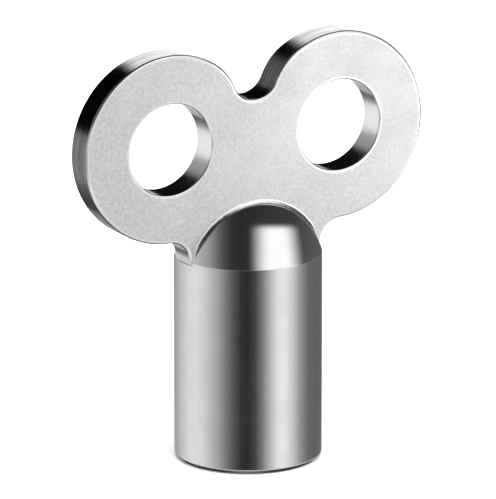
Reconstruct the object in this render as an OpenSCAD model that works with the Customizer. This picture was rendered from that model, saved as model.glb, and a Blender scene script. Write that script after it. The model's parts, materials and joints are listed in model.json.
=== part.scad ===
// Radiator bleed key: a stamped butterfly plate brazed into the slotted dome
// of a turned barrel, with a broached square drive sleeve pressed into the
// barrel's open end. Origin on the barrel's axis at its open end, +Z towards
// the handle, the plate lying in the XZ plane. Millimetres.

/* [Handle plate] */
// Thickness of the stamped plate
plate_t = 2.3; // [1.6:0.1:3]
// Distance between the centres of the two round lobes
lobe_pitch = 14.3; // [13.8:0.1:15.2]
// Diameter of each round lobe
lobe_d = 14.25; // [13.6:0.05:14.8]
// Height of the lobe centres above the open end of the barrel
lobe_z = 24.6; // [24.2:0.1:26]
// Diameter of the hole through each lobe
hole_d = 6.9; // [4:0.1:9]
// Radius of the tighter shoulder between each lobe and the notch
shoulder_r = 4.5; // [3.6:0.1:5.4]
// Direction, seen from the lobe centre, at which the shoulder begins
shoulder_at = 120; // [112:1:126]
// Height of the bottom of the notch between the lobes
notch_z = 27.5; // [26.5:0.1:28]
// Radius of the fillets between the neck and the lobes
neck_r = 1.8; // [1.4:0.1:2.6]
// Width of the edge break round the two holes
edge_break = 0.2; // [0.1:0.05:0.3]

/* [Barrel] */
// Outside diameter of the barrel
barrel_d = 11; // [10.4:0.1:12]
// Length of the barrel's straight side, from the open end to the dome
barrel_len = 15.7; // [14:0.1:16.2]
// Height of the domed end above the straight side
dome_h = 4; // [3:0.1:5]
// How far the slot for the plate runs below the shoulder line
slot_below = 0.2; // [0.1:0.1:1]
// Width of the chamfers on the rims of the open end
rim_chamfer = 0.3; // [0.1:0.05:0.5]
// Depth of the pilot hole below the sleeve's seat, before its cone
pilot_extra = 1.4; // [0.5:0.1:2]
// Diameter of the pilot hole behind the sleeve
pilot_d = 6; // [4:0.1:7]

/* [Drive socket] */
// Width across the flats of the square that fits the bleed valve
square_af = 5.1; // [4.8:0.05:5.5]
// Outside diameter of the pressed-in sleeve
sleeve_d = 8.2; // [8:0.1:8.8]
// Length of the pressed-in sleeve
sleeve_len = 10; // [7:0.5:11]
// Diameter of the hole drilled before the square is broached
broach_pilot_d = 5.35; // [5.15:0.05:5.6]
// Diameter that rounds off the corners of the square
corner_d = 7; // [6.4:0.1:7.2]
// Diameter of the lead-in countersink at the mouth
lead_in_d = 7.2; // [6.8:0.1:7.4]

/* [Braze] */
// Leg length of the braze bead along the plate and along the dome
bead = 0.25; // [0.15:0.05:0.4]

/* [Hidden] */
$fn = 96;

half_t = plate_t / 2;
barrel_r = barrel_d / 2;
lobe_x = lobe_pitch / 2;
lobe_r = lobe_d / 2;
hole_r = hole_d / 2;
over = 0.3;                       // how far the cutting shapes run past a face

// The foot of the plate stands on the floor of the slot, just below the
// shoulder line where the dome begins.
foot_z = barrel_len - slot_below;

// Neighbouring arcs of the outline cross by this much, so that they meet in a
// clean point and look tangent.
blend = 0.001;

// Neck fillets: tangent to the barrel's side line and to the lobe.
neck_x = barrel_r + neck_r;
neck_z = lobe_z - sqrt(pow(lobe_r + neck_r, 2) - pow(neck_x - lobe_x, 2));

// Shoulders: circles tangent to the inside of the lobes.
shoulder_x = lobe_x + (lobe_r - shoulder_r) * cos(shoulder_at);
shoulder_z = lobe_z + (lobe_r - shoulder_r) * sin(shoulder_at);
seam_x = lobe_x + (lobe_r + 2) * cos(shoulder_at);
seam_z = lobe_z + (lobe_r + 2) * sin(shoulder_at);

// Notch: a circle on the centre line, tangent to the outside of both shoulders.
notch_drop = notch_z - shoulder_z;
notch_r = (pow(shoulder_x, 2) + pow(notch_drop, 2) - pow(shoulder_r, 2)) / (2 * (shoulder_r - notch_drop));
notch_cz = notch_z + notch_r;

// Dome: a cap of a sphere that meets the barrel's side at a shallow corner.
dome_r = (pow(barrel_r, 2) + pow(dome_h, 2)) / (2 * dome_h);
dome_cz = barrel_len + dome_h - dome_r;

// The dome meets each face of the plate on a circle of this radius, whose
// axis runs through the dome's centre along Y.
arch_r = sqrt(pow(dome_r, 2) - pow(half_t, 2));
arch_from = asin((barrel_len - dome_cz) / arch_r) + 7;

// Outline of the plate, drawn in X and Z.
module plate_outline() {
    difference() {
        union() {
            for (s = [-1, 1]) translate([s * lobe_x, lobe_z]) circle(r = lobe_r);
            // web between the lobes
            translate([-notch_r - 1, lobe_z - 3]) square([2 * notch_r + 2, notch_cz - lobe_z + 3]);
            // neck, down to the foot
            polygon([
                [-lobe_x, lobe_z], [-neck_x, neck_z], [-barrel_r, neck_z], [-barrel_r, foot_z],
                [barrel_r, foot_z], [barrel_r, neck_z], [neck_x, neck_z], [lobe_x, lobe_z]
            ]);
        }
        for (s = [-1, 1]) translate([s * neck_x, neck_z]) circle(r = neck_r + blend);
        // the dip between the lobes, outside both shoulders
        difference() {
            polygon([
                [shoulder_x, shoulder_z], [0, notch_cz], [-shoulder_x, shoulder_z],
                [-seam_x, seam_z], [seam_x, seam_z]
            ]);
            for (s = [-1, 1]) translate([s * shoulder_x, shoulder_z]) circle(r = shoulder_r + blend);
        }
        translate([0, notch_cz]) circle(r = notch_r + 3 * blend);
        // the two holes
        for (s = [-1, 1]) translate([s * lobe_x, lobe_z]) circle(r = hole_r);
    }
}

// Countersinks that break the edges of one hole on both faces.
module hole_edges(x) {
    for (s = [-1, 1])
        translate([x, 0, lobe_z]) rotate([90, 0, 0])
            rotate_extrude()
                polygon([
                    [0, s * (half_t + over)], [hole_r + edge_break + over, s * (half_t + over)],
                    [hole_r - over, s * (half_t - edge_break - over)], [0, s * (half_t - edge_break - over)]
                ]);
}

// Stamped steel butterfly plate with its two holes.
module handle_plate() {
    color([0.80, 0.80, 0.81])
        difference() {
            translate([0, half_t, 0]) rotate([90, 0, 0]) linear_extrude(plate_t) plate_outline();
            hole_edges(-lobe_x);
            hole_edges(lobe_x);
        }
}

// Turned barrel: domed and slotted at the top, bored from the open end.
module barrel() {
    color([0.74, 0.75, 0.76])
        difference() {
            rotate_extrude()
                union() {
                    polygon([
                        [0, 0], [barrel_r - rim_chamfer, 0], [barrel_r, rim_chamfer],
                        [barrel_r, barrel_len], [0, barrel_len]
                    ]);
                    intersection() {
                        translate([0, dome_cz]) circle(r = dome_r);
                        translate([0, barrel_len - 1]) square([barrel_r, dome_h + 2]);
                    }
                }
            // slot for the plate, across the whole dome
            translate([-barrel_r - 1, -half_t, foot_z]) cube([barrel_d + 2, plate_t, dome_h + slot_below + 1]);
            // stepped bore: seat for the sleeve, then the pilot hole with the drill's cone
            rotate_extrude()
                polygon([
                    [0, -1], [sleeve_d / 2 + rim_chamfer + 1, -1], [sleeve_d / 2, rim_chamfer],
                    [sleeve_d / 2, sleeve_len], [pilot_d / 2, sleeve_len],
                    [pilot_d / 2, sleeve_len + pilot_extra],
                    [0, sleeve_len + pilot_extra + pilot_d / 2 / tan(59)]
                ]);
        }
}

// Square hole as broached: flats, scallops of the pilot drill, eased corners.
module square_hole() {
    union() {
        intersection() {
            square(square_af, center = true);
            circle(d = corner_d);
        }
        circle(d = broach_pilot_d);
    }
}

// Hardened sleeve with the square drive socket.
module drive_sleeve() {
    c = 0.25;
    color([0.55, 0.56, 0.58])
        difference() {
            rotate_extrude()
                polygon([
                    [0, 0], [sleeve_d / 2 - c, 0], [sleeve_d / 2, c],
                    [sleeve_d / 2, sleeve_len - c], [sleeve_d / 2 - c, sleeve_len], [0, sleeve_len]
                ]);
            translate([0, 0, -1]) linear_extrude(sleeve_len + 2) square_hole();
            // lead-in countersink
            rotate_extrude()
                polygon([
                    [0, -1], [lead_in_d / 2 + 1, -1], [square_af / 2 - 0.2, (lead_in_d - square_af) / 2 + 0.2],
                    [0, (lead_in_d - square_af) / 2 + 0.2]
                ]);
        }
}

// Bead of braze in the corner between one face of the plate and the dome.
module braze_bead(side) {
    color([0.86, 0.85, 0.82])
        difference() {
            translate([0, 0, dome_cz]) rotate([90, 0, 0]) rotate([0, 0, arch_from])
                rotate_extrude(angle = 180 - 2 * arch_from)
                    polygon([
                        [arch_r + bead, side * half_t],
                        [arch_r - 0.12, side * (half_t + bead)],
                        [arch_r - 0.6, side * (half_t + bead)],
                        [arch_r - 0.6, side * half_t]
                    ]);
            translate([0, 0, dome_cz]) sphere(r = dome_r);
        }
}
module front_braze_bead() { braze_bead(1); }
module rear_braze_bead() { braze_bead(-1); }

handle_plate();
barrel();
drive_sleeve();
front_braze_bead();
rear_braze_bead();
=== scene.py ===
import json
import math

import bpy
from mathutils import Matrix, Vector, geometry, noise

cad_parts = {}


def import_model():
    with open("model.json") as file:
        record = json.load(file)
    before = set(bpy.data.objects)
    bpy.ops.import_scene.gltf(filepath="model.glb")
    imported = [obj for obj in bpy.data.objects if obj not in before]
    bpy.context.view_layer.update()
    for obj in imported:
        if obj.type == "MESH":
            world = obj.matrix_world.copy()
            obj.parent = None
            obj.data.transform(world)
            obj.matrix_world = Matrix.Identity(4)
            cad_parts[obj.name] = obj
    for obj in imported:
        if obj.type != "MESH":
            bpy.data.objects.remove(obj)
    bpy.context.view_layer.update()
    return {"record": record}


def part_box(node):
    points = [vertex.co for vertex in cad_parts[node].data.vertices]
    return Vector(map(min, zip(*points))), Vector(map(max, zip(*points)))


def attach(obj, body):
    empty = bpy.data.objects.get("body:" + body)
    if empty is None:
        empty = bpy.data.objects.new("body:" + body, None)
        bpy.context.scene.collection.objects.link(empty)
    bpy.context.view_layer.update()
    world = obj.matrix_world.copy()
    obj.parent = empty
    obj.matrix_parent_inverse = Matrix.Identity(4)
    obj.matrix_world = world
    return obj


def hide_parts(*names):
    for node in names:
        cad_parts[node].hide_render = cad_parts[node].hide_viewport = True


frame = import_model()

record = frame["record"]
mounts = {m["name"]: m for m in record["mounts"]}

MM = 0.001
DEG = math.pi / 180

# ---------------------------------------------------------------- sizes, mm
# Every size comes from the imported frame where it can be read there.


def box_mm(node):
    lo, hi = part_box(node)
    return [v / MM for v in lo], [v / MM for v in hi]


plate_lo, plate_hi = box_mm("handle_plate")
barrel_lo, barrel_hi = box_mm("barrel")
sleeve_lo, sleeve_hi = box_mm("drive_sleeve")
HALF_T = (plate_hi[1] - plate_lo[1]) / 2
FOOT_Z = plate_lo[2]
BARREL_R = (barrel_hi[0] - barrel_lo[0]) / 2
SLEEVE_R = round((sleeve_hi[0] - sleeve_lo[0]) / 2, 3)
SLEEVE_L = sleeve_hi[2] - sleeve_lo[2]
HOLE_X = mounts["right_lobe_hole"]["pos_m"][0] / MM
LOBE_Z = mounts["right_lobe_hole"]["pos_m"][2] / MM
HOLE_R = mounts["right_lobe_hole"]["dims"]["r_mm"]
BARREL_R = mounts["barrel_side"]["dims"]["r_mm"]
LOBE_X = HOLE_X
LOBE_R = min(plate_hi[2] - LOBE_Z, plate_hi[0] - LOBE_X) - 0.0005
SHOULDER_R, SHOULDER_AT, NOTCH_Z, NECK_R = 4.5, 120.0, 27.5, 1.8
BARREL_LEN = 15.7
DOME_H = 4.0
RIM = 0.3
PILOT_R, PILOT_EXTRA = 3.0, 1.4
SQUARE, BROACH_R, CORNER_R, LEAD_R = 5.1, 2.675, 3.5, 3.6

DOME_R = (BARREL_R**2 + DOME_H**2) / (2 * DOME_H)
DOME_CZ = BARREL_LEN + DOME_H - DOME_R
NECK_X = BARREL_R + NECK_R
NECK_Z = LOBE_Z - math.sqrt((LOBE_R + NECK_R) ** 2 - (NECK_X - LOBE_X) ** 2)
SH_X = LOBE_X + (LOBE_R - SHOULDER_R) * math.cos(SHOULDER_AT * DEG)
SH_Z = LOBE_Z + (LOBE_R - SHOULDER_R) * math.sin(SHOULDER_AT * DEG)
DROP = NOTCH_Z - SH_Z
NOTCH_R = (SH_X**2 + DROP**2 - SHOULDER_R**2) / (2 * (SHOULDER_R - DROP))
NOTCH_CZ = NOTCH_Z + NOTCH_R


# ------------------------------------------------------------- mesh builder
class Builder:
    """Collects faces with their own corner normals, welds their corners, and makes one closed mesh."""

    def __init__(self):
        self.verts, self.keys, self.faces, self.normals, self.attr = [], {}, [], [], {}

    def vert(self, p):
        k = (round(p[0], 5) + 0.0, round(p[1], 5) + 0.0, round(p[2], 5) + 0.0)
        if k not in self.keys:
            self.keys[k] = len(self.verts)
            self.verts.append(Vector(p))
        return self.keys[k]

    def face(self, points, normals):
        ids, ns = [], []
        for p, n in zip(points, normals):
            i = self.vert(p)
            if i not in ids:
                ids.append(i)
                ns.append(Vector(n))
        if len(ids) < 3:
            return
        g = Vector((0, 0, 0))
        for a, b in zip(ids, ids[1:] + ids[:1]):
            g += self.verts[a].cross(self.verts[b])
        if g.dot(sum(ns, Vector((0, 0, 0)))) < 0:
            ids.reverse()
            ns.reverse()
        self.faces.append(ids)
        self.normals.append(ns)

    def make(self, name, custom=True, sharp=None):
        me = bpy.data.meshes.new(name)
        me.from_pydata([v * MM for v in self.verts], [], self.faces)
        me.polygons.foreach_set("use_smooth", [True] * len(me.polygons))
        me.update()
        if custom:
            me.normals_split_custom_set([n.normalized() for ns in self.normals for n in ns])
        elif sharp:
            me.set_sharp_from_angle(angle=sharp * DEG)
        uses = {}
        for f in self.faces:
            for a, b in zip(f, f[1:] + f[:1]):
                k = (min(a, b), max(a, b))
                uses[k] = uses.get(k, 0) + 1
        odd = sum(1 for n in uses.values() if n != 2)
        print(f"{name}: {len(self.verts)} points, {len(self.faces)} faces, {odd} edges not shared by two faces")
        ob = bpy.data.objects.new(name, me)
        bpy.context.scene.collection.objects.link(ob)
        return ob


def rounded(points, arc=5):
    """Stations along a polyline of (x, y, fillet radius): (x, y, normal of the stretch before, normal of the stretch after). Normals point to the left of travel."""
    out = []
    n = len(points)

    def left(a, b):
        dx, dy = b[0] - a[0], b[1] - a[1]
        d = math.hypot(dx, dy)
        return (-dy / d, dx / d)

    for i, (x, y, r) in enumerate(points):
        before = left(points[i - 1], points[i]) if i > 0 else None
        after = left(points[i], points[i + 1]) if i < n - 1 else None
        if before is None or after is None or r <= 0:
            out.append((x, y, before or after, after or before))
            continue
        turn = math.atan2(before[0] * after[1] - before[1] * after[0], before[0] * after[0] + before[1] * after[1])
        if abs(turn) < 1e-4:
            out.append((x, y, before, after))
            continue
        back = r * math.tan(abs(turn) / 2)
        d0 = (points[i][0] - points[i - 1][0], points[i][1] - points[i - 1][1])
        l0 = math.hypot(*d0)
        start = (x - d0[0] / l0 * back, y - d0[1] / l0 * back)
        s = 1 if turn > 0 else -1
        centre = (start[0] + before[0] * r * s, start[1] + before[1] * r * s)
        a0 = math.atan2(before[1], before[0])
        for k in range(arc + 1):
            a = a0 + turn * k / arc
            nx, ny = math.cos(a), math.sin(a)
            out.append((centre[0] - nx * r * s, centre[1] - ny * r * s, (nx, ny), (nx, ny)))
    return out


def lathe(b, stations, phis, side=1):
    """Turns stations of (radius, height, normals) round Z over the given angles."""
    for i in range(len(stations) - 1):
        r0, z0, _, n0 = stations[i]
        r1, z1, n1, _ = stations[i + 1]
        for j in range(len(phis) - 1):
            c0, s0, c1, s1 = math.cos(phis[j]), math.sin(phis[j]), math.cos(phis[j + 1]), math.sin(phis[j + 1])
            b.face(
                [(r0 * c0, r0 * s0, z0), (r1 * c0, r1 * s0, z1), (r1 * c1, r1 * s1, z1), (r0 * c1, r0 * s1, z0)],
                [
                    (side * n0[0] * c0, side * n0[0] * s0, side * n0[1]),
                    (side * n1[0] * c0, side * n1[0] * s0, side * n1[1]),
                    (side * n1[0] * c1, side * n1[0] * s1, side * n1[1]),
                    (side * n0[0] * c1, side * n0[0] * s1, side * n0[1]),
                ],
            )


def steps(a, b, n):
    return [a + (b - a) * i / n for i in range(n + 1)]


# ------------------------------------------------------------ handle plate
def half_outline():
    """Right half of the plate's outline, from the bottom of the notch round to the middle of the foot: (x, z, outward normal, edge radius)."""
    pts = []

    def arc(cx, cz, r, a0, a1, n, side, skip=1):
        for a in steps(a0, a1, n)[skip:]:
            c, s = math.cos(a * DEG), math.sin(a * DEG)
            pts.append((cx + r * c, cz + r * s, side * c, side * s))

    to_sh = math.atan2(NOTCH_CZ - SH_Z, -SH_X) / DEG
    neck_from = math.atan2(LOBE_Z - NECK_Z, LOBE_X - NECK_X) / DEG
    arc(0, NOTCH_CZ, NOTCH_R, -90, to_sh - 180, 18, -1, skip=0)
    arc(SH_X, SH_Z, SHOULDER_R, to_sh, SHOULDER_AT, 22, 1)
    arc(LOBE_X, LOBE_Z, LOBE_R, SHOULDER_AT, neck_from - 180, 190, 1)
    arc(NECK_X, NECK_Z, NECK_R, neck_from, 180, 26, -1)
    k = 0.1
    arc(BARREL_R - k, FOOT_Z + k, k, 0, -90, 4, 1, skip=0)
    for x in steps(BARREL_R - k, 0, 34)[1:]:
        pts.append((x, FOOT_Z, 0.0, -1.0))
    out = []
    for x, z, nx, nz in pts:
        q = 0.2
        if z < FOOT_Z + 1.0:
            q = 0.08 + 0.12 * max(0.0, (z - FOOT_Z)) / 1.0
        out.append((x, z, nx, nz, q))
    return out


def plate():
    b = Builder()
    right = half_outline()
    left = [(-x, z, -nx, nz, q) for x, z, nx, nz, q in right[1:-1]][::-1]
    loops = [right + left]
    for s in (-1, 1):
        ring = []
        for i in range(150):
            a = 2 * math.pi * i / 150
            c, t = math.cos(a), math.sin(a)
            ring.append((s * HOLE_X + HOLE_R * c, LOBE_Z + HOLE_R * t, -c, -t, 0.13))
        loops.append(ring)
    arc = 7
    half = []  # (share of the edge radius taken inwards, height below the face in edge radii, tilt)
    for k in range(arc + 1):
        t = math.pi / 2 * k / arc
        half.append((1 - math.sin(t), 1 - math.cos(t), t))

    def ring_point(p, k, side):
        x, z, nx, nz, q = p
        d, y, t = half[k]
        return (
            (x - nx * q * d, side * (HALF_T - q * y), z - nz * q * d),
            (nx * math.sin(t), side * math.cos(t), nz * math.sin(t)),
        )

    for loop in loops:
        n = len(loop)
        for i in range(n):
            p, r = loop[i], loop[(i + 1) % n]
            for side in (-1, 1):
                for k in range(arc):
                    a, na = ring_point(p, k, side)
                    c, nc = ring_point(p, k + 1, side)
                    d, nd = ring_point(r, k + 1, side)
                    e, ne = ring_point(r, k, side)
                    b.face([a, c, d, e], [na, nc, nd, ne])
            a0, na = ring_point(p, arc, -1)
            a1, _ = ring_point(p, arc, 1)
            c0, nc = ring_point(r, arc, -1)
            c1, _ = ring_point(r, arc, 1)
            for t0, t1 in zip(steps(0, 1, 4)[:-1], steps(0, 1, 4)[1:]):
                mix = lambda u, v, t: tuple(u[m] + (v[m] - u[m]) * t for m in range(3))
                b.face([mix(a0, a1, t0), mix(a0, a1, t1), mix(c0, c1, t1), mix(c0, c1, t0)], [na, na, nc, nc])

    # the two flat faces: one triangulation, used for both
    flat, edges = [], []
    polished = set()
    rings = []
    for loop in loops:
        base = len(flat)
        inner = []
        for i, p in enumerate(loop):
            x, z, nx, nz, q = p
            band = 0.15 * min(1.0, max(0.05, (z - FOOT_Z - 0.25) / 0.8))
            inner.append((x - nx * (q + band), z - nz * (q + band)))
            flat.append(inner[-1])
            edges.append((base + i, base + (i + 1) % len(loop)))
        for i in range(len(loop)):
            j = (i + 1) % len(loop)
            for side in (-1, 1):
                a, _ = ring_point(loop[i], 0, side)
                c, _ = ring_point(loop[j], 0, side)
                up = (0, side, 0)
                b.face([a, c, (inner[j][0], side * HALF_T, inner[j][1]), (inner[i][0], side * HALF_T, inner[i][1])], [up] * 4)
                polished.add(b.vert(a))
        rings.append(inner)
    border = list(flat)

    def within(ring, x, z):
        hit = False
        for i in range(len(ring)):
            (x0, z0), (x1, z1) = ring[i - 1], ring[i]
            if (z0 > z) != (z1 > z) and x < x0 + (z - z0) / (z1 - z0) * (x1 - x0):
                hit = not hit
        return hit

    def inside(x, z):
        if in_hole(x, z, 0.25) or (in_hole(x, z, 0.45) and any(within(ring, x, z) for ring in rings[1:])):
            return False
        return within(rings[0], x, z)

    def in_hole(x, z, grow=0.0):
        return any(math.hypot(x - s * HOLE_X, z - LOBE_Z) < HOLE_R + grow for s in (-1, 1))

    pitch = 0.42
    row = 0
    z = FOOT_Z + pitch / 2
    while z < plate_hi[2]:
        x = -15.0 + (pitch / 2 if row % 2 else 0)
        while x < 15.0:
            if not in_hole(x, z, 0.5) and inside(x, z):
                near = min((x - u) ** 2 + (z - v) ** 2 for u, v in border)
                if near > 0.22**2:
                    flat.append((x, z))
            x += pitch
        z += pitch * 0.866
        row += 1
    res = geometry.delaunay_2d_cdt([Vector(p) for p in flat], edges, [], 0, 1e-7)
    back = [flat[o[0]] if o else tuple(v) for v, o in zip(res[0], res[3])]
    for f in res[2]:
        tri = [back[i] for i in f]
        cx, cz = sum(p[0] for p in tri) / len(tri), sum(p[1] for p in tri) / len(tri)
        if not inside(cx, cz):
            continue
        for side in (-1, 1):
            b.face([(p[0], side * HALF_T, p[1]) for p in tri], [(0, side, 0)] * len(tri))
    ob = b.make("handle_plate_finished")

    # how close each point is to an edge, 1 on it and 0 well inside; and where the outer rim's walls get painted shade,
    # above the neck and not in the holes
    rim = ob.data.attributes.new("rim", "FLOAT", "POINT")
    outside = ob.data.attributes.new("outer_rim_painted_shade", "FLOAT", "POINT")
    values, outer_values = [], []
    for i, v in enumerate(b.verts):
        depth = HALF_T - abs(v[1])
        values.append(1.0 if depth > 0.0005 or i in polished else 0.0)
        up = min(1.0, max(0.0, (v[2] - 17.3) / 0.9))
        # painted shade mask: 1 on the outer rim's walls above the neck, 0 on the faces, on the rounded edges and in the
        # holes
        outer_values.append(0.0 if in_hole(v[0], v[2], 0.3) else up * min(1.0, max(0.0, (depth - 0.03) / 0.12)))
    rim.data.foreach_set("value", values)
    outside.data.foreach_set("value", outer_values)
    return ob


# ------------------------------------------------------------------ barrel
def barrel():
    b = Builder()
    edge = math.asin(HALF_T / BARREL_R)
    nc, ns = 170, 26
    front = steps(-math.pi + edge, -edge, nc)
    right = steps(-edge, edge, ns)
    rear = steps(edge, math.pi - edge, nc)
    left = steps(math.pi - edge, math.pi + edge, ns)
    phis = front + right[1:] + rear[1:] + left[1:]
    tip = SLEEVE_L + PILOT_EXTRA + PILOT_R / math.tan(59 * DEG)
    profile = rounded(
        [
            (0, tip, 0),
            (PILOT_R, SLEEVE_L + PILOT_EXTRA, 0.05),
            (PILOT_R, SLEEVE_L, 0.06),
            (SLEEVE_R, SLEEVE_L, 0.04),
            (SLEEVE_R, RIM, 0.05),
            (SLEEVE_R + RIM, 0, 0.05),
            (BARREL_R - RIM, 0, 0.08),
            (BARREL_R, RIM, 0.18),
            (BARREL_R, 4.2, 0),
            (BARREL_R, 8.1, 0),
            (BARREL_R, 12.0, 0),
            (BARREL_R, FOOT_Z, 0),
        ],
        arc=5,
    )
    lathe(b, profile, phis, side=-1)

    # dome, as two cheeks either side of the slot
    t0 = math.asin((BARREL_LEN - DOME_CZ) / DOME_R)
    k = 0.03  # radius that eases the shoulder line
    # ball of radius k inside both the side and the dome
    cx = BARREL_R - k
    cz = DOME_CZ + math.sqrt((DOME_R - k) ** 2 - cx**2)
    a1 = math.atan2(cz - DOME_CZ, cx)
    rings = [(BARREL_R, FOOT_Z, (1, 0)), (BARREL_R, cz, (1, 0))]
    for i in range(1, 6):
        a = a1 * i / 5
        rings.append((cx + k * math.cos(a), cz + k * math.sin(a), (math.cos(a), math.sin(a))))
    top = math.acos(HALF_T / DOME_R)
    for a in steps(a1, top, 64)[1:]:
        rings.append((DOME_R * math.cos(a), DOME_CZ + DOME_R * math.sin(a), (math.cos(a), math.sin(a))))

    def ring(r, z, n, side):
        e = math.asin(min(1.0, HALF_T / r))
        pts, ns_ = [], []
        for t in steps(0, 1, nc):
            a = (-math.pi + e) + (math.pi - 2 * e) * t if side < 0 else e + (math.pi - 2 * e) * t
            c, s = math.cos(a), math.sin(a)
            y = r * s
            if t in (0, 1):
                y = side * HALF_T
            pts.append((r * c, y, z))
            ns_.append((n[0] * c, n[0] * s, n[1]))
        return pts, ns_

    for side in (-1, 1):
        made = [ring(r, z, n, side) for r, z, n in rings]
        for (p0, n0), (p1, n1) in zip(made[:-1], made[1:]):
            for j in range(nc):
                b.face([p0[j], p1[j], p1[j + 1], p0[j + 1]], [n0[j], n1[j], n1[j + 1], n0[j + 1]])
            b.face([p0[0], p1[0], p1[-1], p0[-1]], [(0, -side, 0)] * 4)
    # floor of the slot
    for j in range(ns):
        p, q = right[j], right[j + 1]
        y0, y1 = BARREL_R * math.sin(p), BARREL_R * math.sin(q)
        x0, x1 = BARREL_R * math.cos(p), BARREL_R * math.cos(q)
        if j == 0:
            y0 = -HALF_T
        if j == ns - 1:
            y1 = HALF_T
        b.face([(x0, y0, FOOT_Z), (x1, y1, FOOT_Z), (-x1, y1, FOOT_Z), (-x0, y0, FOOT_Z)], [(0, 0, 1)] * 4)
    return b.make("barrel_finished")


# ------------------------------------------------------------ drive sleeve
def sleeve():
    b = Builder()
    half = SQUARE / 2
    a1, a2 = math.acos(half / BROACH_R), math.acos(half / CORNER_R)
    quarter = steps(-math.pi / 4, -a2, 3) + steps(-a2, -a1, 14)[1:] + steps(-a1, a1, 22)[1:] + steps(a1, a2, 14)[1:] + steps(a2, math.pi / 4, 3)[1:]
    phis = []
    for q in range(4):
        phis += [a + q * math.pi / 2 for a in quarter[:-1]]

    def inner(phi):
        a = (phi + math.pi / 4) % (math.pi / 2) - math.pi / 4
        return max(BROACH_R, min(half / math.cos(a), CORNER_R)) if abs(a) <= a2 + 1e-9 else CORNER_R

    c = 0.25
    columns = []
    for phi in phis:
        r = inner(phi)
        st = rounded(
            [
                (r, SLEEVE_L / 2, 0),
                (r, SLEEVE_L, 0.05),
                (SLEEVE_R - c, SLEEVE_L, 0.04),
                (SLEEVE_R, SLEEVE_L - c, 0.04),
                (SLEEVE_R, c, 0.04),
                (SLEEVE_R - c, 0, 0.04),
                (LEAD_R, 0, 0.05),
                (r, LEAD_R - r, 0.05),
                (r, SLEEVE_L / 2, 0),
            ],
            arc=4,
        )[:-1]
        columns.append([(s[0] * math.cos(phi), s[0] * math.sin(phi), s[1]) for s in st])
    n, m = len(columns), len(columns[0])
    for j in range(n):
        p, q = columns[j], columns[(j + 1) % n]
        for i in range(m):
            k = (i + 1) % m
            quad = [p[i], p[k], q[k], q[i]]
            g = (Vector(quad[1]) - Vector(quad[0])).cross(Vector(quad[3]) - Vector(quad[0]))
            if g.length == 0:
                g = (Vector(quad[2]) - Vector(quad[1])).cross(Vector(quad[3]) - Vector(quad[1]))
            b.face(quad, [g] * 4)
    return b.make("drive_sleeve_finished", custom=False, sharp=24)


# ------------------------------------------------------------- braze beads
def bead(name, side):
    """Concave fillet of braze along the arch where one face of the plate meets the dome."""
    b = Builder()
    arch = math.sqrt(DOME_R**2 - HALF_T**2)
    start = math.asin((BARREL_LEN - DOME_CZ) / arch) + 0.25 * DEG
    n = 220
    sections = []
    for i in range(n + 1):
        a = start + (math.pi - 2 * start) * i / n
        run = min(i, n - i) / n
        w = 0.26 * (0.07 + 0.93 * min(1.0, run / 0.10) ** 0.8)
        w *= 1 + 0.08 * noise.noise(Vector((i * 0.11, side * 3.1, 0.7))) + 0.04 * noise.noise(Vector((i * 0.37, side * 1.7, 4.2)))
        # concave against the plate, then a nearly straight slope down to the dome
        lean, bend = 50 * DEG, 0.90 * w
        pts = [Vector((arch + w, HALF_T - 0.012))]
        for k in range(7):
            t = lean * k / 6
            pts.append(Vector((arch + w - bend * math.sin(t), HALF_T + bend * (1 - math.cos(t)))))
        q = pts[-1]
        reach = 0.0
        while (q.x - reach * math.cos(lean)) ** 2 + (q.y + reach * math.sin(lean)) ** 2 > DOME_R**2:
            reach += 0.002
        foot = Vector((q.x - reach * math.cos(lean), q.y + reach * math.sin(lean)))
        pts.append((q + foot) / 2 - Vector((0.03 * w, 0.03 * w)))
        pts.append(foot)
        pts.append(foot - Vector((0.012, 0.004)))
        pts.append(Vector((arch - 0.05, HALF_T - 0.012)))
        sections.append([(p[0] * math.cos(a), side * p[1], DOME_CZ + p[0] * math.sin(a)) for p in pts])
    m = len(sections[0])
    middle = [Vector((0, 0, 0)) for _ in sections]
    for i, s in enumerate(sections):
        for p in s:
            middle[i] += Vector(p) / m
    for i in range(n):
        p, q = sections[i], sections[i + 1]
        for k in range(m):
            l = (k + 1) % m
            mid = (Vector(p[k]) + Vector(p[l])) / 2
            edge = Vector(p[l]) - Vector(p[k])
            along = Vector(q[k]) - Vector(p[k])
            g = edge.cross(along)
            # outward is away from the section's own inside, which a winding test settles for all at once
            b.faces.append([b.vert(p[k]), b.vert(q[k]), b.vert(q[l]), b.vert(p[l])])
            b.normals.append([g, g, g, g])
    b.faces.append([b.vert(p) for p in sections[0]])
    b.normals.append([Vector((0, 0, 1))] * m)
    b.faces.append([b.vert(p) for p in sections[-1]][::-1])
    b.normals.append([Vector((0, 0, 1))] * m)
    vol = 0.0
    for f in b.faces:
        for i in range(1, len(f) - 1):
            vol += b.verts[f[0]].dot(b.verts[f[i]].cross(b.verts[f[i + 1]]))
    if vol < 0:
        b.faces = [f[::-1] for f in b.faces]
    return b.make(name, custom=False, sharp=40)


# --------------------------------------------------------------- materials
def nodes_of(mat):
    mat.use_nodes = True
    nt = mat.node_tree
    nt.nodes.clear()
    out = nt.nodes.new("ShaderNodeOutputMaterial")
    bsdf = nt.nodes.new("ShaderNodeBsdfPrincipled")
    nt.links.new(bsdf.outputs["BSDF"], out.inputs["Surface"])
    return nt, bsdf


def add(nt, kind, inputs=None, **props):
    n = nt.nodes.new(kind)
    for k, v in props.items():
        setattr(n, k, v)
    for k, v in (inputs or {}).items():
        if isinstance(v, bpy.types.NodeSocket):
            nt.links.new(v, n.inputs[k])
        else:
            n.inputs[k].default_value = v
    return n


def math_node(nt, op, a, b=None, clamp=False):
    ins = {0: a}
    if b is not None:
        ins[1] = b
    return add(nt, "ShaderNodeMath", ins, operation=op, use_clamp=clamp).outputs[0]


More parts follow.
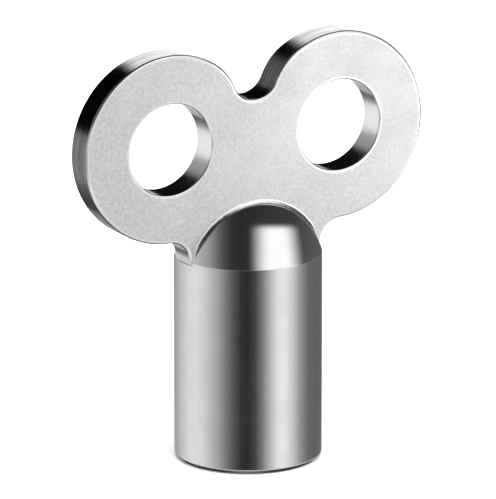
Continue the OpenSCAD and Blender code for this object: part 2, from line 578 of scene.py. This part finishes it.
def remap(nt, value, lo, hi, to_lo, to_hi):
    return add(
        nt,
        "ShaderNodeMapRange",
        {"Value": value, "From Min": lo, "From Max": hi, "To Min": to_lo, "To Max": to_hi},
        interpolation_type="SMOOTHSTEP",
    ).outputs["Result"]


def tone(nt, factor, a, b):
    n = add(nt, "ShaderNodeMix", {"Factor": factor}, data_type="RGBA")
    n.inputs[6].default_value = (*a, 1)
    n.inputs[7].default_value = (*b, 1)
    return n.outputs[2]


def noise_at(nt, vector, scale, detail=2.0, rough=0.5, distortion=0.0):
    return add(
        nt,
        "ShaderNodeTexNoise",
        {"Vector": vector, "Scale": scale, "Detail": detail, "Roughness": rough, "Distortion": distortion},
    ).outputs["Fac"]


def plate_material():
    """Stamped steel, tumbled and nickel plated: satin faces with a fine grain, bright edges, marks from shearing along
    the rims, and painted shade that colours the outer rim dark.
    """
    mat = bpy.data.materials.new("tumbled_nickel_plate")
    nt, bsdf = nodes_of(mat)
    pos = add(nt, "ShaderNodeTexCoord").outputs["Object"]
    rim = add(nt, "ShaderNodeAttribute", attribute_name="rim").outputs["Fac"]
    outer = add(nt, "ShaderNodeAttribute", attribute_name="outer_rim_painted_shade").outputs["Fac"]
    cloud = noise_at(nt, pos, 300, 4.0, 0.6)
    grain = noise_at(nt, pos, 3600, 3.0, 0.65)
    fine = noise_at(nt, pos, 9000, 2.0, 0.6)
    streak_at = add(nt, "ShaderNodeMapping", {"Vector": pos, "Scale": (170, 5200, 170)}).outputs["Vector"]
    streak = noise_at(nt, streak_at, 1.0, 3.0, 0.6)
    face = tone(nt, remap(nt, grain, 0.28, 0.72, 0.0, 1.0), (0.62, 0.62, 0.62), (0.79, 0.79, 0.79))
    # painted shade: the outer rim's walls coloured dark grey, 0.16 to 0.28, with the marks along the rim varying it
    rim_marks_and_painted_shade = tone(nt, remap(nt, streak, 0.35, 0.65, 0.0, 1.0), (0.16, 0.16, 0.16), (0.28, 0.28, 0.28))
    bright = add(nt, "ShaderNodeMix", {"Factor": remap(nt, rim, 0.55, 1.0, 0.0, 1.0)}, data_type="RGBA")
    nt.links.new(face, bright.inputs[6])
    bright.inputs[7].default_value = (0.82, 0.82, 0.82, 1)
    # the painted shade mask lays the dark rim colour over the outer rim
    base = add(nt, "ShaderNodeMix", {"Factor": outer}, data_type="RGBA")
    nt.links.new(bright.outputs[2], base.inputs[6])
    nt.links.new(rim_marks_and_painted_shade, base.inputs[7])
    nt.links.new(base.outputs[2], bsdf.inputs["Base Color"])
    bsdf.inputs["Metallic"].default_value = 1.0
    satin = math_node(nt, "ADD", remap(nt, cloud, 0.3, 0.7, 0.35, 0.41), remap(nt, grain, 0.25, 0.75, -0.03, 0.04))
    rough = math_node(nt, "SUBTRACT", satin, math_node(nt, "MULTIPLY", rim, 0.20), clamp=True)
    nt.links.new(rough, bsdf.inputs["Roughness"])
    dents = add(nt, "ShaderNodeTexVoronoi", {"Vector": pos, "Scale": 1900.0, "Randomness": 1.0}).outputs["Distance"]
    pits = remap(nt, dents, 0.02, 0.22, 0.0, 1.0)
    height = math_node(nt, "ADD", math_node(nt, "MULTIPLY", grain, 0.9), math_node(nt, "MULTIPLY", fine, 0.25))
    height = math_node(nt, "ADD", height, math_node(nt, "MULTIPLY", pits, 0.35))
    keep = remap(nt, rim, 0.2, 1.0, 1.0, 0.15)
    height = math_node(nt, "MULTIPLY", height, keep)
    height = math_node(nt, "ADD", height, math_node(nt, "MULTIPLY", math_node(nt, "MULTIPLY", streak, rim), 0.30))
    bump = add(nt, "ShaderNodeBump", {"Height": height, "Strength": 0.40, "Distance": 0.00002})
    nt.links.new(bump.outputs["Normal"], bsdf.inputs["Normal"])
    return mat


def barrel_material():
    """Turned steel under bright nickel: faint tool rings round the axis and a few rubbed patches."""
    mat = bpy.data.materials.new("bright_nickel_barrel")
    nt, bsdf = nodes_of(mat)
    pos = add(nt, "ShaderNodeTexCoord").outputs["Object"]
    rings_at = add(nt, "ShaderNodeMapping", {"Vector": pos, "Scale": (60, 60, 9000)}).outputs["Vector"]
    rings = noise_at(nt, rings_at, 1.0, 3.0, 0.65)
    rub = noise_at(nt, pos, 330, 4.0, 0.6, 0.4)
    fine = noise_at(nt, pos, 5200, 2.0, 0.6)
    base = tone(nt, remap(nt, rub, 0.35, 0.7, 0.0, 1.0), (0.83, 0.83, 0.83), (0.79, 0.79, 0.79))
    nt.links.new(base, bsdf.inputs["Base Color"])
    bsdf.inputs["Metallic"].default_value = 1.0
    rough = math_node(nt, "ADD", remap(nt, rub, 0.35, 0.75, 0.11, 0.15), remap(nt, rings, 0.3, 0.7, -0.015, 0.02))
    nt.links.new(rough, bsdf.inputs["Roughness"])
    height = math_node(nt, "ADD", math_node(nt, "MULTIPLY", rings, 0.7), math_node(nt, "MULTIPLY", fine, 0.25))
    bump = add(nt, "ShaderNodeBump", {"Height": height, "Strength": 0.18, "Distance": 0.00001})
    nt.links.new(bump.outputs["Normal"], bsdf.inputs["Normal"])
    return mat


def sleeve_material():
    """Hardened steel, broached: tool lines along the socket's walls, a greyer tone than the plating."""
    mat = bpy.data.materials.new("broached_steel")
    nt, bsdf = nodes_of(mat)
    pos = add(nt, "ShaderNodeTexCoord").outputs["Object"]
    lines_at = add(nt, "ShaderNodeMapping", {"Vector": pos, "Scale": (7000, 7000, 120)}).outputs["Vector"]
    lines = noise_at(nt, lines_at, 1.0, 3.0, 0.65)
    stain = noise_at(nt, pos, 420, 4.0, 0.6)
    base = tone(nt, remap(nt, stain, 0.3, 0.7, 0.0, 1.0), (0.50, 0.50, 0.51), (0.60, 0.60, 0.60))
    nt.links.new(base, bsdf.inputs["Base Color"])
    bsdf.inputs["Metallic"].default_value = 1.0
    rough = math_node(nt, "ADD", remap(nt, stain, 0.3, 0.7, 0.28, 0.38), remap(nt, lines, 0.3, 0.7, -0.05, 0.05))
    nt.links.new(rough, bsdf.inputs["Roughness"])
    bump = add(nt, "ShaderNodeBump", {"Height": lines, "Strength": 0.45, "Distance": 0.00002})
    nt.links.new(bump.outputs["Normal"], bsdf.inputs["Normal"])
    return mat


def braze_material():
    """Flowed braze under the plating: smooth and bright, slightly lumpy."""
    mat = bpy.data.materials.new("plated_braze")
    nt, bsdf = nodes_of(mat)
    pos = add(nt, "ShaderNodeTexCoord").outputs["Object"]
    lumps = noise_at(nt, pos, 1900, 2.0, 0.5)
    base = tone(nt, remap(nt, lumps, 0.3, 0.7, 0.0, 1.0), (0.84, 0.84, 0.835), (0.90, 0.90, 0.895))
    nt.links.new(base, bsdf.inputs["Base Color"])
    bsdf.inputs["Metallic"].default_value = 1.0
    nt.links.new(remap(nt, lumps, 0.25, 0.75, 0.16, 0.26), bsdf.inputs["Roughness"])
    bump = add(nt, "ShaderNodeBump", {"Height": lumps, "Strength": 0.35, "Distance": 0.00003})
    nt.links.new(bump.outputs["Normal"], bsdf.inputs["Normal"])
    return mat


for ob, node, slot, material in (
    (plate(), "handle_plate", "plate_nickel", plate_material()),
    (barrel(), "barrel", "barrel_nickel", barrel_material()),
    (sleeve(), "drive_sleeve", "sleeve_steel", sleeve_material()),
    (bead("front_braze_bead_finished", -1), "front_braze_bead", "braze", None),
    (bead("rear_braze_bead_finished", 1), "rear_braze_bead", "braze", None),
):
    if material is None:
        material = bpy.data.materials.get("plated_braze") or braze_material()
    ob.data.materials.append(material)
    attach(ob, "root")
    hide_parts(node)
    if node == "handle_plate":
        ob.visible_glossy = False
        plate_ob = ob


# ------------------------------------------------------------------- stage
def floor():
    me = bpy.data.meshes.new("studio_floor")
    s = 4.0
    me.from_pydata([(-s, -s, 0), (s, -s, 0), (s, s, 0), (-s, s, 0)], [], [(0, 1, 2, 3)])
    ob = bpy.data.objects.new("studio_floor", me)
    bpy.context.scene.collection.objects.link(ob)
    mat = bpy.data.materials.new("pale_floor")
    mat.use_nodes = True
    nt = mat.node_tree
    nt.nodes.clear()
    out = nt.nodes.new("ShaderNodeOutputMaterial")
    matt = add(nt, "ShaderNodeBsdfDiffuse", {"Color": (0.93, 0.93, 0.93, 1)})
    clear = add(nt, "ShaderNodeBsdfTransparent")
    under = add(nt, "ShaderNodeNewGeometry").outputs["Backfacing"]
    mix = add(nt, "ShaderNodeMixShader", {0: under, 1: matt.outputs[0], 2: clear.outputs[0]})
    nt.links.new(mix.outputs[0], out.inputs["Surface"])
    me.materials.append(mat)
    ob.visible_glossy = False
    return ob


floor()

CAM_AZ, CAM_EL = -30.0, 16.0
a, e = CAM_AZ * DEG, CAM_EL * DEG
BACK = Vector((math.sin(a) * math.cos(e), -math.cos(a) * math.cos(e), math.sin(e)))
RIGHT = Vector((math.cos(a), math.sin(a), 0))
UP = BACK.cross(RIGHT)


def world():
    """Soft studio surroundings for the metal to mirror, dark with pale panels.

    They are laid out by the direction a surface would have to face to send them to the photograph's viewpoint:
    across is how far it faces to the right, rise how far it faces up, lift its height part.
    """
    w = bpy.data.worlds.new("studio")
    bpy.context.scene.world = w
    w.use_nodes = True
    nt = w.node_tree
    nt.nodes.clear()
    out = nt.nodes.new("ShaderNodeOutputWorld")
    d = add(nt, "ShaderNodeTexCoord").outputs["Generated"]

    def vec(op, one, two=None):
        ins = {0: one}
        if two is not None:
            ins[1] = two
        n = add(nt, "ShaderNodeVectorMath", ins, operation=op)
        return n.outputs["Value"] if op == "DOT_PRODUCT" else n.outputs["Vector"]

    h = vec("NORMALIZE", vec("ADD", d, tuple(BACK)))
    across = vec("DOT_PRODUCT", h, tuple(RIGHT))
    rise = vec("DOT_PRODUCT", h, tuple(UP))
    hx, hy, lift = add(nt, "ShaderNodeSeparateXYZ", {0: h}).outputs
    steep = add(nt, "ShaderNodeSeparateXYZ", {0: d}).outputs[2]

    def ramp(value, lo, hi, stops):
        n = add(nt, "ShaderNodeValToRGB", {0: math_node(nt, "DIVIDE", math_node(nt, "SUBTRACT", value, lo), hi - lo)})
        n.color_ramp.interpolation = "LINEAR"
        els = n.color_ramp.elements
        while len(els) > 1:
            els.remove(els[-1])
        for i, (g, v) in enumerate(stops):
            p = (g - lo) / (hi - lo)
            el_ = els[0] if i == 0 else els.new(p)
            el_.position = p
            el_.color = (v, v, v, 1)
        return n.outputs[0]

    def blend(f, one, two):
        n = add(nt, "ShaderNodeMix", {"Factor": f, 2: one, 3: two}, data_type="FLOAT")
        return n.outputs[0]

    side = ramp(across, -1, 1, [
        (-1.0, 0.30), (-0.95, 0.46), (-0.9, 0.62), (-0.8, 0.83), (-0.7, 0.88), (-0.6, 0.78), (-0.5, 0.59),
        (-0.4, 0.42), (-0.3, 0.235), (-0.2, 0.10), (-0.1, 0.036), (0.0, 0.024), (0.1, 0.060), (0.2, 0.235),
        (0.3, 0.56), (0.4, 0.91), (0.45, 0.98), (0.5, 0.96), (0.6, 0.70), (0.7, 0.345), (0.8, 0.16), (0.9, 0.13), (1.0, 0.14),
    ])
    top = ramp(across, -1, 1, [
        (-1.0, 0.95), (-0.85, 0.90), (-0.7, 0.60), (-0.6, 0.50), (-0.5, 0.38), (-0.4, 0.19), (-0.3, 0.072), (-0.2, 0.034),
        (-0.1, 0.028), (0.05, 0.030), (0.6, 0.05), (0.7, 0.08), (0.8, 0.10), (1.0, 0.12),
    ])
    # window: a soft rectangle over the dome's right half
    slant = math_node(nt, "ADD", across, math_node(nt, "MULTIPLY", rise, 0.12))
    pane = math_node(nt, "MULTIPLY", remap(nt, across, 0.0, 0.28, 0.0, 1.0), remap(nt, slant, 0.50, 0.75, 1.0, 0.0))
    pane = math_node(nt, "MULTIPLY", pane, remap(nt, rise, 0.54, 0.64, 1.0, 0.0))
    upper = math_node(nt, "ADD", top, math_node(nt, "MULTIPLY", pane, 1.15))
    # a pale band between the level the barrel mirrors and the level the dome mirrors
    main = blend(remap(nt, lift, 0.07, 0.11, 0.0, 1.0), side, 0.72)
    main = blend(remap(nt, lift, 0.22, 0.28, 0.0, 1.0), main, upper)
    # below the level of the key: a pale band, dark under it, grey straight down
    under = blend(remap(nt, lift, -0.50, -0.36, 1.0, 0.0), 0.70, 0.04)
    main = blend(remap(nt, lift, -0.11, -0.07, 1.0, 0.0), main, under)
    # seen along the rims of the plate
    turn = math_node(nt, "MULTIPLY", math_node(nt, "ARCTAN2", math_node(nt, "MULTIPLY", hx, -1.0), lift), 1 / DEG)
    rims = ramp(turn, -180, 180, [
        (-180, 0.01), (0, 0.003), (37, 0.003), (41, 0.030), (46, 0.20), (50, 0.32), (58, 0.34), (66, 0.38), (75, 0.55), (84, 0.80), (90, 0.80),
        (98, 0.60), (104, 0.38), (110, 0.22), (118, 0.10), (126, 0.03), (142, 0.006), (180, 0.01),
    ])
    on_rim = math_node(nt, "MULTIPLY", math_node(nt, "MULTIPLY", remap(nt, hy, -0.20, -0.06, 0.0, 1.0), remap(nt, hy, 0.20, 0.38, 1.0, 0.0)), remap(nt, math_node(nt, "ABSOLUTE", lift), 0.10, 0.30, 0.0, 1.0))
    main = blend(on_rim, main, rims)
    # dark where the far edges of the rims turn out of sight
    past = math_node(nt, "MULTIPLY", remap(nt, hy, 0.10, 0.30, 0.0, 1.0), math_node(nt, "MAXIMUM", remap(nt, lift, 0.45, 0.60, 0.0, 1.0), remap(nt, lift, -0.40, -0.25, 1.0, 0.0)))
    main = blend(past, main, 0.02)
    main = blend(remap(nt, steep, -0.98, -0.90, 1.0, 0.0), main, 0.22)
    # pale spot straight behind the key
    main = blend(remap(nt, vec("DOT_PRODUCT", d, tuple(-BACK)), 0.972, 0.992, 0.0, 1.0), main, 0.50)

    colour = add(nt, "ShaderNodeCombineColor", {0: main, 1: main, 2: main}).outputs[0]
    lit = add(nt, "ShaderNodeBackground", {"Color": colour, "Strength": 1.0})
    plain = add(nt, "ShaderNodeBackground", {"Color": (1, 1, 1, 1), "Strength": 1.0})
    seen = add(nt, "ShaderNodeLightPath").outputs["Is Camera Ray"]
    mix = add(nt, "ShaderNodeMixShader", {0: seen, 1: lit.outputs[0], 2: plain.outputs[0]})
    nt.links.new(mix.outputs[0], out.inputs["Surface"])


world()


def area(name, at, towards, size, size_y, power, glossy=True, diffuse=True):
    li = bpy.data.lights.new(name, "AREA")
    li.shape = "RECTANGLE"
    li.size, li.size_y = size, size_y
    li.energy = power
    ob = bpy.data.objects.new(name, li)
    ob.location = at
    ob.rotation_mode = "QUATERNION"
    ob.rotation_quaternion = (Vector(at) - Vector(towards)).to_track_quat("Z", "Y")
    bpy.context.scene.collection.objects.link(ob)
    ob.visible_camera = False
    ob.visible_glossy = glossy
    ob.visible_diffuse = diffuse
    return ob


# overhead panel that lights the floor and gives the soft shadow under the key
area("overhead", (0.02, -0.04, 0.60), (0, 0, 0), 0.7, 0.7, 9.0, glossy=False)
# soft panel off to the right, its near edge mirrored in the middle of the plate, that brightens the plate's right end
area("plate_fill", (0.0383, -0.0467, 0.0150), (0.0383 - 0.48, -0.0467 + 0.832, 0.0150), 0.022, 0.022, 0.0018, diffuse=False)

# broad low panels front and back that light the plate alone, so that its faces stay pale seen from the other side too
plate_only = bpy.data.collections.new("plate_only")
plate_only.objects.link(plate_ob)
for label, toward in (("plate_front", (-0.47, -0.81, -0.34)), ("plate_back", (0.47, 0.81, -0.34))):
    panel = area(label, tuple(0.30 * c for c in toward), (0, 0, 0.02), 0.26, 0.26, 0.10, diffuse=False)
    panel.light_linking.receiver_collection = plate_only


def card(name, outline, y, facing, wide, level, fade):
    """Small card behind the key, out of shot, mirrored only in a rim of the plate.

    outline is its shape in X and Z, facing the direction the mirrored rays travel, and wide how far from that
    direction it still shows. fade is (axis, from, to): its brightness or blackness grows from nothing over that stretch.
    """
    m = Vector(facing).normalized()
    me = bpy.data.meshes.new(name)
    # flat card in X and Z at depth y, its corners as given
    me.from_pydata([(x * MM, y * MM, z * MM) for x, z in outline], [], [tuple(range(len(outline)))])
    ob = bpy.data.objects.new(name, me)
    bpy.context.scene.collection.objects.link(ob)
    mat = bpy.data.materials.new(name)
    mat.use_nodes = True
    nt = mat.node_tree
    nt.nodes.clear()
    o = nt.nodes.new("ShaderNodeOutputMaterial")
    glow = add(nt, "ShaderNodeEmission", {"Color": (1, 1, 1, 1), "Strength": level})
    clear = add(nt, "ShaderNodeBsdfTransparent")
    square = add(nt, "ShaderNodeCombineXYZ", {0: m.x, 1: m.y, 2: m.z}).outputs[0]
    off = add(nt, "ShaderNodeLayerWeight", {"Blend": 0.5, "Normal": square}).outputs["Facing"]
    shown = remap(nt, off, 1 - math.cos(wide * DEG), 1 - math.cos((wide + 8) * DEG), 1.0, 0.0)
    at = add(nt, "ShaderNodeSeparateXYZ", {0: add(nt, "ShaderNodeTexCoord").outputs["Object"]}).outputs
    for axis, lo, hi in fade:
        f = remap(nt, at[axis], min(lo, hi) * MM, max(lo, hi) * MM, 0.0 if hi > lo else 1.0, 1.0 if hi > lo else 0.0)
        shown = math_node(nt, "MULTIPLY", shown, f)
    mix = add(nt, "ShaderNodeMixShader", {0: shown, 1: clear.outputs[0], 2: glow.outputs[0]})
    nt.links.new(mix.outputs[0], o.inputs["Surface"])
    me.materials.append(mat)
    for flag in ("visible_camera", "visible_diffuse", "visible_shadow", "visible_transmission"):
        setattr(ob, flag, False)


CARD_Y = HALF_T + 6
for label, x in (("left", -LOBE_X), ("right", LOBE_X)):
    shape = [(-3.2, 33.6), (2.0, 33.2), (4.6, 31.9), (5.6, 31.4), (5.6, 32.6), (4.6, 37.5), (-3.2, 37.5)]
    card("white_card_" + label, [(x + u, z) for u, z in shape], CARD_Y, (0.34, 0.832, 0.38), 20, 2.5, [(0, x - 3.2, x - 0.4), (2, 31.3, 33.5)])
    shape = [(3.6, 33.9), (5.0, 34.3), (7.8, 32.2), (9.4, 29.6), (8.8, 28.0), (5.9, 28.6), (5.2, 30.8), (3.8, 32.8)]
    card("white_end_" + label, [(x + u, z) for u, z in shape], CARD_Y - 0.05, (0.53, 0.832, 0.12), 15, 2.2, [])
    shape = [(-3.6, 0.7), (1.7, 0.7), (1.7, -4.3), (-3.6, -4.3)]
    card("hole_card_" + label, [(x + u, LOBE_Z + w) for u, w in shape], CARD_Y - 0.10, (-0.43, 0.832, -0.23), 22, 0.98,
         [(0, x + 1.6, x - 0.2), (2, LOBE_Z + 0.6, LOBE_Z - 1.0)])
card("black_card", [(-23, 26.2), (-10.2, 26.2), (-10.2, 37.5), (-23, 37.5)], CARD_Y + 0.05, (-0.33, 0.832, 0.36), 26, 0.0, [(2, 26.2, 27.6)])

# ------------------------------------------------------------------ camera
cam_data = bpy.data.cameras.new("camera")
cam_data.type = "PERSP"
cam_data.lens = 600.0
cam_data.sensor_width = 36.0
cam = bpy.data.objects.new("camera", cam_data)
bpy.context.scene.collection.objects.link(cam)
target = Vector((0, 0, 15.75 * MM))
view_height = 36.9 * MM
cam.location = target + BACK * (view_height / 0.036 * 0.600)
cam.rotation_mode = "QUATERNION"
cam.rotation_quaternion = (-(-BACK)).to_track_quat("Z", "Y")
cam_data.clip_start, cam_data.clip_end = 0.01, 20.0
bpy.context.scene.camera = cam

bpy.context.scene.view_settings.view_transform = "Standard"
bpy.context.scene.view_settings.look = "None"
